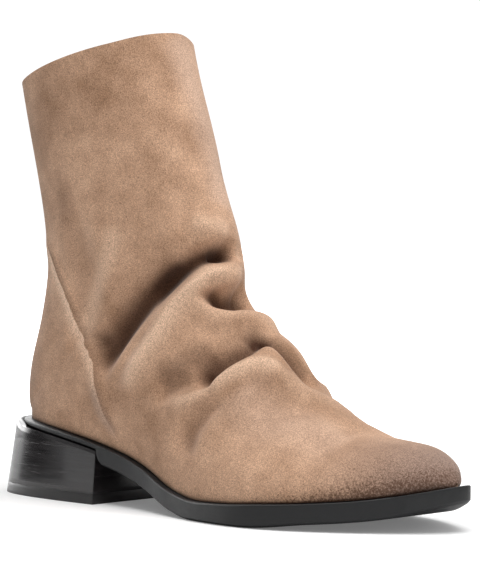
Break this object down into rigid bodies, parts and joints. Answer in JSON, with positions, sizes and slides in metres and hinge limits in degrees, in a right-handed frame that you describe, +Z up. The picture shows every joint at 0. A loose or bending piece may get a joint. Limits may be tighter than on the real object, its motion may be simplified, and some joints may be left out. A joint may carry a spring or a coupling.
{
  "type": "slouch ankle boot",
  "caption": "Pull-on suede slouch ankle boot for the right foot, with a pointed toe, diagonal folds at the instep and a low black block heel.",
  "frame": {"origin": "on the floor under the middle of the boot's length and width", "axes": "+X to the toe, +Y to the inner side of the right foot, +Z up"},
  "size_m": [0.2702, 0.0887, 0.2172],
  "materials": {
    "suede": "tan suede with a fine nap, burnished darker at the toe",
    "sole": "matt black rubber",
    "heel": "polished black",
    "lift": "satin black rubber",
    "insole": "smooth leather sock lining"
  },
  "bodies": {
    "root": {"upper": "suede", "outsole": "sole", "heel_block": "heel", "top_lift": "lift", "insole": "insole"}
  },
  "joints": []
}
